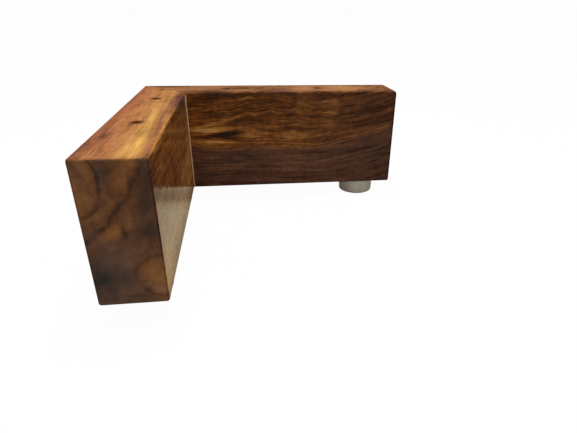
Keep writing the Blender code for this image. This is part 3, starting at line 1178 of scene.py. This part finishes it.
    def far_finish(self) -> FiguredTimber:
        """Gives the far board's figure: golden and rippled above, chocolate brown below.

        Returns:
            The far board's finish.
        """
        return FiguredTimber(
            arm=Arm.FAR,
            origin=self.grain_origin(Arm.FAR),
            board_width=self.width / MM,
            holes=self.grain_holes(Arm.FAR),
            swirls=(
                # Eyes, golden lenses and dark bands on the inner face.
                Swirl((78.0, 0.0, 52.0), (28.0, 24.0, 12.0), lift=-4.5),
                Swirl((28.0, 0.0, 28.0), (10.0, 20.0, 8.0), lift=-2.5),
                Swirl((46.0, 0.0, 42.0), (16.0, 12.0, 1.2), tilt=0.22, tone=0.36),
                Swirl((48.0, 0.0, 34.0), (17.0, 16.0, 7.0), spread=4.0, tone=0.14),
                Swirl((72.0, 0.0, 43.5), (30.0, 14.0, 6.0), tone=-0.16),
                Swirl((38.0, 0.0, 37.3), (11.0, 12.0, 1.3), tone=0.46),
                Swirl((48.0, 0.0, 29.9), (12.0, 12.0, 1.0), tone=0.42),
                Swirl((51.0, 0.0, 35.0), (8.5, 14.0, 1.3), tilt=0.09, tone=-0.7),
                Swirl((42.0, 0.0, 33.6), (9.0, 14.0, 1.2), tilt=0.06, tone=-0.45),
                Swirl((52.5, 0.0, 32.2), (5.0, 10.0, 0.8), tone=-0.5),
                Swirl((67.0, 0.0, 34.8), (10.0, 14.0, 4.6), spread=2.6, tone=0.28),
                Swirl((98.0, 0.0, 33.5), (22.0, 16.0, 6.3), spread=4.5, lift=2.2, tone=0.08),
                Swirl((116.0, 0.0, 47.0), (5.0, 8.0, 10.0), tone=0.1),
                Swirl((144.0, 0.0, 50.0), (16.0, 16.0, 7.0), tone=-0.2),
                Swirl((105.0, 0.0, 26.6), (30.0, 12.0, 1.3), tone=0.12),
                Swirl((109.0, 0.0, 31.0), (12.0, 14.0, 3.2), tone=0.08),
                Swirl((141.0, 0.0, 33.8), (17.0, 12.0, 1.6), tilt=0.25, tone=0.16),
                Swirl((76.0, 0.0, 16.0), (44.0, 16.0, 8.0), tone=0.08),
                Swirl((152.0, 0.0, 22.0), (18.0, 16.0, 11.0), tone=-0.12),
                Swirl((150.0, 0.0, 34.0), (30.0, 20.0, 40.0), tone=-0.06),
                Swirl((44.0, 0.0, 4.0), (30.0, 16.0, 6.0), tone=-0.08),
                Swirl((146.0, 0.0, 3.0), (18.0, 16.0, 5.0), tone=-0.16),
                Swirl((148.0, 0.0, 33.0), (17.0, 16.0, 5.0), tone=0.2),
                Swirl((35.0, 0.0, 58.0), (14.0, 3.0, 4.0), tone=-0.04),
                Swirl((100.0, 0.0, 58.0), (40.0, 3.0, 4.0), tone=-0.12),
                # Patches on the top.
                Swirl((45.0, 1.5, 60.0), (9.0, 4.0, 2.5), tone=-0.45, heart=0.7),
                Swirl((59.0, 5.0, 60.0), (6.0, 5.0, 3.0), tone=0.2),
                Swirl((64.0, 15.0, 60.0), (22.0, 5.5, 3.0), tone=-0.3, heart=0.2),
                Swirl((83.0, 6.0, 60.0), (11.0, 9.0, 2.5), tone=-0.12, heart=0.6),
                Swirl((99.0, 12.0, 60.0), (11.0, 10.0, 3.0), tone=0.38),
                Swirl((151.0, 16.0, 60.0), (10.0, 12.0, 3.0), tone=-0.24),
                Swirl((127.0, 13.0, 60.0), (9.0, 10.0, 3.0), tone=0.14, heart=-0.6),
            ),
            face_stops=(
                (0.05, "2e1404"),
                (0.3, "5c300f"),
                (0.48, "83491a"),
                (0.62, "a4642a"),
                (0.8, "c98842"),
                (1.0, "eab062"),
            ),
            heart_stops=(
                (0.1, "341f19"),
                (0.4, "5e3b2d"),
                (0.6, "764d39"),
                (0.85, "96664b"),
            ),
            # The top's colours are paler than the sides' partly as painted light from above.
            top_stops=(
                (0.0, "7c5136"),
                (0.15, "8e5f3e"),
                (0.45, "9c6c47"),
                (0.8, "926340"),
                (1.0, "805437"),
            ),
            top_stain="6e4438",
            top_gilt="b98a52",
            blotch=Lumps((16.0, 5.0, 9.0), share=0.9, detail=4.0, roughness=0.6),
            heart_level=26.3,
            bend=9.8,
            ripple=1.35,
            slope=0.15,
            contrast=0.9,
            edge_wear_and_shade=0.6,
            sway_depth=4.0,
            wobble_depth=1.0,
            browning=0.5,
        )

    def end_mark(self, depth: float, height: float, wide: float, tall: float, **marks: float) -> Swirl:
        """Places a swirl on the near board's end grain.

        Args:
            depth: The place in from the inner face, in grain millimetres.
            height: The place up from the bottom.
            wide: The reach across the board.
            tall: The reach up the board.
            marks: The swirl's tone, heart, rim or rim width.

        Returns:
            The swirl, at the board's free end.
        """
        length = (self.high.y - self.low.y) / MM
        return Swirl((length, depth, height), (self.end_reach, wide, tall), **marks)

    def near_finish(self) -> FiguredTimber:
        """Gives the near board's figure: reddish and straight along, swirled at its end.

        Returns:
            The near board's finish.
        """
        mark = self.end_mark
        return FiguredTimber(
            arm=Arm.NEAR,
            origin=self.grain_origin(Arm.NEAR),
            board_width=self.width / MM,
            holes=self.grain_holes(Arm.NEAR),
            swirls=(
                # Veins, patches and a lens on the end grain.
                mark(28.0, 51.0, 10.0, 13.0, tone=0.12, rim=0.24),
                mark(62.6, 80.1, 63.1, 63.1, rim=0.26, rim_width=1.1),
                mark(16.0, 54.0, 2.6, 8.0, tone=-0.16, heart=0.4),
                mark(8.4, 51.0, 3.6, 6.0, tone=0.06, heart=0.1),
                mark(2.6, 45.0, 3.2, 10.0, tone=-0.2, heart=0.2),
                mark(6.5, 39.5, 3.0, 4.5, tone=-0.12),
                mark(1.5, 54.0, 3.0, 7.0, tone=-0.14, heart=0.2),
                mark(2.0, 31.0, 3.5, 8.0, tone=-0.12, heart=0.2),
                mark(15.7, 32.6, 3.6, 3.2, tone=0.12, heart=-0.3),
                mark(12.2, 32.6, 1.1, 2.8, tone=-0.3),
                mark(9.8, 36.0, 3.0, 3.2, tone=0.1),
                mark(16.5, 23.0, 5.5, 5.0, tone=0.07, heart=0.2),
                mark(25.0, 12.0, 7.6, 7.4, tone=-0.34, heart=0.9),
                mark(16.0, 14.0, 18.0, 16.0, heart=0.5),
                mark(16.5, 12.5, 4.0, 4.5, tone=-0.08, heart=0.5),
                mark(5.4, 12.7, 6.0, 7.4, tone=0.12, heart=-0.45),
                mark(1.6, 12.4, 9.6, 8.8, rim=0.16),
                mark(11.0, 14.4, 0.9, 3.4, tone=-0.16),
                mark(9.4, 9.4, 1.0, 1.8, tone=-0.12),
                mark(7.6, 6.6, 1.2, 1.3, tone=-0.14),
                mark(12.0, 4.0, 12.0, 0.7, tone=-0.14),
                mark(16.0, 2.0, 14.0, 4.0, tone=-0.01, heart=0.4),
                # Golden and dark streaks on the top, and two lighter places on the inner face.
                Swirl((102.0, 8.0, 60.0), (20.0, 2.4, 5.0), tone=0.2, heart=-0.6),
                Swirl((142.0, 6.4, 60.0), (24.0, 3.0, 5.0), tone=0.22, heart=-0.9),
                Swirl((155.0, 20.0, 60.0), (6.0, 6.0, 3.0), tone=-0.04, heart=-0.15),
                Swirl((56.0, 0.0, 21.0), (26.0, 5.0, 13.0), tone=0.36),
                Swirl((154.0, 0.0, 8.0), (14.0, 5.0, 9.0), tone=0.3),
                Swirl((50.0, 1.8, 60.0), (26.0, 2.8, 5.0), tone=-0.36, heart=1.0),
                Swirl((92.0, 4.8, 60.0), (18.0, 1.5, 5.0), tone=-0.12, heart=0.5),
                Swirl((124.0, 3.4, 60.0), (18.0, 1.0, 5.0), tone=-0.18, heart=0.6),
                Swirl((148.0, 1.9, 60.0), (14.0, 0.8, 5.0), tone=-0.14, heart=0.4),
                Swirl((132.0, 0.6, 60.0), (26.0, 0.9, 3.0), tone=0.16, heart=-0.6),
                Swirl((131.0, 22.3, 60.0), (8.0, 1.8, 3.0), tone=-0.2, heart=0.6),
                Swirl((149.0, 26.0, 60.0), (12.0, 1.8, 4.0), tone=-0.15, heart=0.5),
                Swirl((84.0, 10.0, 60.0), (7.0, 3.0, 3.0), tone=0.15),
                Swirl((15.4, 13.9, 60.0), (3.0, 2.5, 4.0), tone=-0.35),
                Swirl((109.0, 15.6, 60.0), (4.5, 1.6, 2.0), tone=-0.2, heart=0.4),
            ),
            face_stops=(
                (0.05, "2a1509"),
                (0.3, "5f3518"),
                (0.5, "8c5224"),
                (0.65, "aa6c33"),
                (0.85, "c68c4c"),
            ),
            heart_stops=((0.1, "3a3636"), (0.5, "7a5a4b"), (0.85, "a87c60")),
            # The top's colours are paler than the sides' partly as painted light from above.
            top_stops=(
                (0.0, "ac7040"),
                (0.1, "b47a4a"),
                (0.25, "be8650"),
                (0.4, "c08852"),
                (0.55, "b97c4c"),
                (0.8, "b0714a"),
                (1.0, "9c6044"),
            ),
            top_stain="8c5a4c",
            top_gilt="d2a055",
            bars=Lumps((9.0, 12.0, 16.0), share=0.5),
            corner_share=0.25,
            heart_level=-40.0,
            bend=0.0,
            ripple=0.25,
            slope=0.55,
            contrast=0.72,
            edge_wear_and_shade=0.3,
            sway_depth=2.5,
            wobble_depth=4.0,
            browning=0.0,
        )

    def build(self) -> None:
        """Builds, dresses and keeps both boards."""
        keep(self.board(Arm.NEAR), self.near_finish().build(), "near_timber", Arm.NEAR.value)
        keep(self.board(Arm.FAR), self.far_finish().build(), "far_timber", Arm.FAR.value)


@dataclass
class GlueBead:
    """The thin line of glue that squeezed out along the inner corner."""

    timber: Timber
    leg: float = 0.45 * MM
    uneven: float = 0.45
    lump: float = 5.0 * MM
    right_seed: Span = (3.1, 0.7)
    front_seed: Span = (8.2, 4.4)
    # How far the bead's hollow face stays from the corner, as a share of its legs.
    hollow: float = 0.36
    steps: int = 90
    sharp_angle: float = 60.0
    node: str = "corner_glue_line"

    def reach(self, seed: Span, height: float) -> float:
        """Gives the length of one leg of the bead at a height, by the noise at a seed."""
        return self.leg * (1 + self.uneven * noise.noise(Vector((*seed, height / self.lump))))

    def build(self) -> None:
        """Lofts the bead up the corner, with an uneven width, and keeps it."""
        low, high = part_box(self.node)
        corner = self.timber.inner_corner
        bm = bmesh.new()
        rings = []
        for i in range(self.steps + 1):
            height = low.z + (high.z - low.z) * i / self.steps
            right, front = self.reach(self.right_seed, height), self.reach(self.front_seed, height)
            plan = [(0, 0), (0, -front), (right * self.hollow, -front * self.hollow), (right, 0)]
            rings.append([bm.verts.new((corner.x + x, corner.y + y, height)) for x, y in plan])
        loft(bm, rings)
        bmesh.ops.recalc_face_normals(bm, faces=bm.faces)
        item = mesh_object(bm, "glue_bead")
        smooth_with_sharp_edges(item, self.sharp_angle)
        keep(item, DriedGlue().build(), "dried_glue", self.node)


@dataclass
class Glides:
    """Three moulded glides under the boards, each with a pan-head screw in its pocket."""

    diameter: float = 23.5 * MM
    base_diameter: float = 23.0 * MM
    base_round: float = 1.4 * MM
    base_round_steps: int = 10
    edge_round: float = 0.3 * MM
    edge_round_steps: int = 6
    wall: float = 2.2 * MM
    floor: float = 2.6 * MM
    pocket_diameter: float = 9.2 * MM
    screw_hole_diameter: float = 4.4 * MM
    ribs: int = 6
    rib_width: float = 1.4 * MM
    head_diameter: float = 7.2 * MM
    head_height: float = 2.6 * MM
    head_lift: float = 2.2 * MM
    head_clearance: float = 0.3 * MM
    head_ease: float = 0.2 * MM
    head_ease_steps: int = 3
    crown_share: float = 0.8
    crown_steps: int = 10
    shank_diameter: float = 3.8 * MM
    core_diameter: float = 2.7 * MM
    shank_sink: float = 0.1 * MM
    thread_pitch: float = 1.4 * MM
    # Half of a crest's width, as a share of the pitch.
    thread_crest: float = 0.22
    rows_per_turn: int = 10
    thread_steps: int = 28
    screw_length: float = 16.0 * MM
    point_length: float = 5.0 * MM
    point_radius: float = 0.02 * MM
    recess_span: float = 4.2 * MM
    recess_root: float = 1.1 * MM
    recess_tip: float = 0.7 * MM
    recess_depth: float = 1.5 * MM
    recess_taper: float = 0.55
    recess_overrun: float = 0.5 * MM
    steps: int = 72
    sharp_angle: float = 40.0
    seed: int = 7

    def glide(self, height: float) -> bpy.types.Object:
        """Makes one glide at the origin: a cup with a rounded foot, a screw boss and ribs inside.

        Args:
            height: The glide's height.

        Returns:
            The glide, to be set on every seat.
        """
        rim, base = self.diameter / 2, self.base_diameter / 2
        pocket, hole = self.pocket_diameter / 2, self.screw_hole_diameter / 2
        seat = self.head_lift + self.head_height + self.head_clearance
        boss, ease, foot = pocket + self.wall, self.edge_round, self.base_round
        profile = [
            *arc((rim - ease, height - ease), ease, 90, 0, self.edge_round_steps),
            *arc((base - foot, foot), foot, 0, -90, self.base_round_steps),
            *arc((pocket + ease, ease), ease, 270, 180, self.edge_round_steps),
            (pocket, seat),
            (hole, seat),
            (hole, height),
            (boss, height),
            (boss, self.floor),
            (base - self.wall, self.floor),
            (rim - self.wall, height),
        ]
        bm = turned(profile, self.steps, closed=True)
        inner, outer = boss - self.wall / 2, base - self.wall / 2
        low, high = self.floor / 2, height - self.wall / 2
        for number in range(self.ribs):
            place = Matrix.Rotation(2 * math.pi * (number + 0.5) / self.ribs, 4, "Z")
            place = place @ Matrix.Translation(((inner + outer) / 2, 0, (low + high) / 2))
            place = place @ Matrix.Diagonal((outer - inner, self.rib_width, high - low, 1))
            bmesh.ops.create_cube(bm, size=1, matrix=place)
        item = mesh_object(bm, "one_glide")
        smooth_with_sharp_edges(item, self.sharp_angle)
        return item

    def thread_radius(self, height: float, turn: float) -> float:
        """Gives the screw's radius, with a sharp coiled crest and a tapered point.

        Args:
            height: The height above the head.
            turn: The share of a turn round the axis.

        Returns:
            The radius.
        """
        phase = (height / self.thread_pitch - turn) % 1.0
        crest = max(0.0, 1 - abs(phase - 0.5) / self.thread_crest)
        taper = min(1.0, max(0.0, (self.screw_length - height) / self.point_length))
        core = self.core_diameter / 2 * taper
        return max(core + (self.shank_diameter / 2 * taper - core) * crest, self.point_radius)

    def screw(self) -> bpy.types.Object:
        """Makes one pan-head wood screw at the origin, point up, with a thread and a cross recess.

        Returns:
            The screw, to be set on every seat.
        """
        head, seat = self.head_diameter / 2, self.head_lift + self.head_height
        crown, ease = self.crown_share * self.head_height, self.head_ease
        angles = [math.pi / 2 * i / self.crown_steps for i in range(self.crown_steps)]
        profile = [
            (0, seat),
            *arc((head - ease, seat - ease), ease, 90, 0, self.head_ease_steps),
            *((head * math.cos(a), self.head_lift + crown * (1 - math.sin(a))) for a in angles),
            (0, self.head_lift),
        ]
        bm = turned(profile, self.steps, closed=False)
        rows = round(self.screw_length / self.thread_pitch * self.rows_per_turn)
        rings = []
        for i in range(rows + 1):
            height = self.screw_length * i / rows
            ring = []
            for j in range(self.thread_steps):
                turn = j / self.thread_steps
                spoke = Matrix.Rotation(2 * math.pi * turn, 3, "Z") @ Vector((1, 0, 0))
                spoke *= self.thread_radius(height, turn)
                ring.append(bm.verts.new((spoke.x, spoke.y, seat - self.shank_sink + height)))
            rings.append(ring)
        loft(bm, rings)
        item = mesh_object(bm, "one_screw")
        cut_away(item, [self.recess()])
        smooth_with_sharp_edges(item, self.sharp_angle)
        return item

    def recess(self) -> bpy.types.Object:
        """Makes the cross that is punched into a screw's head, narrower towards its bottom.

        Returns:
            A closed cutter.
        """
        span, root, tip = self.recess_span / 2, self.recess_root / 2, self.recess_tip / 2
        mouth, bottom = self.head_lift - self.recess_overrun, self.head_lift + self.recess_depth
        bm = bmesh.new()
        rings = []
        for height, share in ((mouth, 1.0), (bottom, self.recess_taper)):
            ring = []
            for turn in range(4):
                spin = Matrix.Rotation(turn * math.pi / 2, 3, "Z")
                for x, y in ((span * share, -tip), (span * share, tip), (root, root)):
                    ring.append(bm.verts.new(spin @ Vector((x, y, height))))
            rings.append(ring)
        loft(bm, rings)
        bmesh.ops.recalc_face_normals(bm, faces=bm.faces)
        return mesh_object(bm, "recess_punch")

    def seat_tree(self) -> bpy.types.NodeTree:
        """Builds the Geometry Nodes tree that sets one piece on every seat, each at its own turn.

        Returns:
            The tree, with inputs for the piece, its finish, its size and the seed of its turns.
        """
        tree = bpy.data.node_groups.new("pieces_on_seats", "GeometryNodeTree")
        for name, kind in (
            ("Seats", "NodeSocketGeometry"),
            ("Piece", "NodeSocketObject"),
            ("Finish", "NodeSocketMaterial"),
            ("Size", "NodeSocketFloat"),
            ("Seed", "NodeSocketInt"),
        ):
            tree.interface.new_socket(name, in_out="INPUT", socket_type=kind)
        tree.interface.new_socket("Pieces", in_out="OUTPUT", socket_type="NodeSocketGeometry")
        node = partial(add_node, tree)
        seats, piece, finish, size, seed = node("NodeGroupInput").node.outputs[:5]
        shape = node("GeometryNodeObjectInfo", piece, out="Geometry")
        turn = node(
            "FunctionNodeRandomValue", Max=(0, 0, 2 * math.pi), Seed=seed, data_type="FLOAT_VECTOR"
        )
        points = node("GeometryNodeMeshToPoints", seats)
        pieces = node("GeometryNodeInstanceOnPoints", points, Instance=shape, Rotation=turn, Scale=size)
        pieces = node("GeometryNodeRealizeInstances", pieces)
        pieces = node("GeometryNodeSetMaterial", pieces, Material=finish)
        group_out = tree.nodes.new("NodeGroupOutput")
        tree.links.new(pieces, group_out.inputs[0])
        return tree

    def build(self) -> None:
        """Sets the glides and the screws on their seats, dresses them and keeps them."""
        tree = self.seat_tree()
        boxes = {seat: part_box(f"{seat.value}_glide") for seat in Seat}
        height = boxes[Seat.FAR_END][1].z
        plastic, steel = MouldedPolypropylene().build(), ZincPlatedSteel().build()
        for name, piece, finish, slot, ending in (
            ("glide_set", self.glide(height), plastic, "glide_plastic", "glide"),
            ("glide_screw_set", self.screw(), steel, "screw_steel", "glide_screw"),
        ):
            bm = bmesh.new()
            for low, high in boxes.values():
                bm.verts.new(((low.x + high.x) / 2, (low.y + high.y) / 2, low.z))
            item = mesh_object(bm, name)
            setting = item.modifiers.new("seats", "NODES")
            setting.node_group = tree
            values = {"Piece": piece, "Finish": finish, "Size": 1.0, "Seed": self.seed}
            for socket in tree.interface.items_tree:
                if socket.name in values:
                    setting[socket.identifier] = values[socket.name]
            plain_mesh(item)
            bpy.data.objects.remove(piece, do_unlink=True)
            keep(item, finish, slot, *(f"{seat.value}_{ending}" for seat in Seat))


@dataclass(frozen=True)
class Dowels:
    """The two dowels inside the mitre, which keep the shape of their solids."""

    nodes: tuple[str, ...] = ("mitre_dowel_upper", "mitre_dowel_lower")

    def build(self, solids: dict[str, bpy.types.Object]) -> None:
        """Dresses the dowels.

        Args:
            solids: The frame's objects by the names of their nodes.
        """
        beech = MilledBeech().build()
        for name in self.nodes:
            dress(solids[name], beech)
            LOG.info("%s: dressed", name)


@dataclass(frozen=True)
class Studio:
    """Camera, floor, lamp and surroundings."""

    camera_place: Point = (-20.89 * MM, -238.98 * MM, 116.83 * MM)
    heading_deg: float = 8.90
    pitch_deg: float = 27.49
    roll_deg: float = 1.085
    lens_mm: float = 28.458
    sensor_mm: float = 36.0
    shift: Span = (-0.03622, 0.04757)
    clip_start: float = 0.01
    lamp_place: Point = (0.02, 0.06, 0.9)
    lamp_size: float = 0.4
    lamp_power: float = 5.4
    white: str = "ffffff"
    fill: float = 0.34
    world_seen: float = 0.98
    # The floor glows white to the camera. In the lacquer it is a warm, dimmer tone.
    floor_size: float = 6.0
    floor_bounce: str = "a6a09a"
    floor_mirrored: str = "fbedc4"
    glow_mirrored: float = 0.3
    glow_seen: float = 0.97

    def camera(self) -> None:
        """Sets the camera where the photograph was taken."""
        data = bpy.data.cameras.new("photo_camera")
        data.sensor_width = self.sensor_mm
        data.sensor_fit = "HORIZONTAL"
        data.lens = self.lens_mm
        data.shift_x, data.shift_y = self.shift
        data.clip_start = self.clip_start
        item = bpy.data.objects.new("photo_camera", data)
        turn = (
            Matrix.Rotation(-math.radians(self.heading_deg), 4, "Z")
            @ Matrix.Rotation(math.radians(90 - self.pitch_deg), 4, "X")
            @ Matrix.Rotation(math.radians(self.roll_deg), 4, "Z")
        )
        item.matrix_world = Matrix.Translation(self.camera_place) @ turn
        bpy.context.scene.collection.objects.link(item)
        bpy.context.scene.camera = item

    def seen(self, tree: bpy.types.NodeTree) -> Socket:
        """Adds the test for a ray that shows the background: straight, mirrored or through glass.

        Args:
            tree: The node tree that takes the test.

        Returns:
            1 for such a ray, and 0 for bounced light.
        """
        node = partial(add_node, tree)
        path = node("ShaderNodeLightPath").node.outputs
        mirrored = node(MATH, path["Is Camera Ray"], path["Is Glossy Ray"], operation="MAXIMUM")
        return node(MATH, mirrored, path["Is Transmission Ray"], operation="MAXIMUM")

    def floor(self) -> None:
        """Lays the pale floor: white to the eye with a light shadow, and grey for bounced light."""
        bm = bmesh.new()
        bmesh.ops.create_grid(bm, x_segments=1, y_segments=1, size=self.floor_size)
        item = mesh_object(bm, "floor")
        material, tree, _ = new_material("pale_floor")
        node = partial(add_node, tree)
        dull = node("ShaderNodeBsdfDiffuse", linear(self.floor_bounce))
        straight = node("ShaderNodeLightPath", out="Is Camera Ray")
        mirrored, white = linear(self.floor_mirrored), linear(self.white)
        colour = node(MIX, straight, A_Color=mirrored, B_Color=white, data_type="RGBA", out=2)
        pale = node("ShaderNodeBsdfDiffuse", colour)
        glow = node("ShaderNodeEmission", colour, 1.0)
        share = node(RANGE, straight, 0.0, 1.0, self.glow_mirrored, self.glow_seen)
        shown = node("ShaderNodeMixShader", share, pale, glow)
        surface = node("ShaderNodeMixShader", self.seen(tree), dull, shown)
        tree.links.new(surface, tree.nodes["Material Output"].inputs["Surface"])
        dress(item, material)

    def light(self) -> None:
        """Hangs one broad soft lamp above and behind, and sets a dim white world."""
        lamp = bpy.data.lights.new("overhead_lamp", "AREA")
        lamp.shape = "DISK"
        lamp.size = self.lamp_size
        lamp.energy = self.lamp_power
        item = bpy.data.objects.new("overhead_lamp", lamp)
        item.location = self.lamp_place
        item.rotation_euler = (-item.location).to_track_quat("-Z", "Y").to_euler()
        bpy.context.scene.collection.objects.link(item)
        world = bpy.data.worlds.new("studio")
        world.use_nodes = True
        tree = world.node_tree
        strength = add_node(tree, RANGE, self.seen(tree), 0.0, 1.0, self.fill, self.world_seen)
        background = tree.nodes["Background"]
        background.inputs["Color"].default_value = linear(self.white)
        tree.links.new(strength, background.inputs["Strength"])
        bpy.context.scene.world = world


def main() -> None:
    """Builds the foot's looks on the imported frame."""
    logging.basicConfig(level=logging.INFO, format="%(name)s: %(message)s")
    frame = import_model()
    bpy.context.scene.view_settings.view_transform = "Standard"
    studio = Studio()
    studio.camera()
    studio.floor()
    studio.light()
    timber = Timber(frame["record"])
    timber.build()
    GlueBead(timber).build()
    Glides().build()
    Dowels().build(frame["nodes"])


if __name__ == "__main__":
    main()
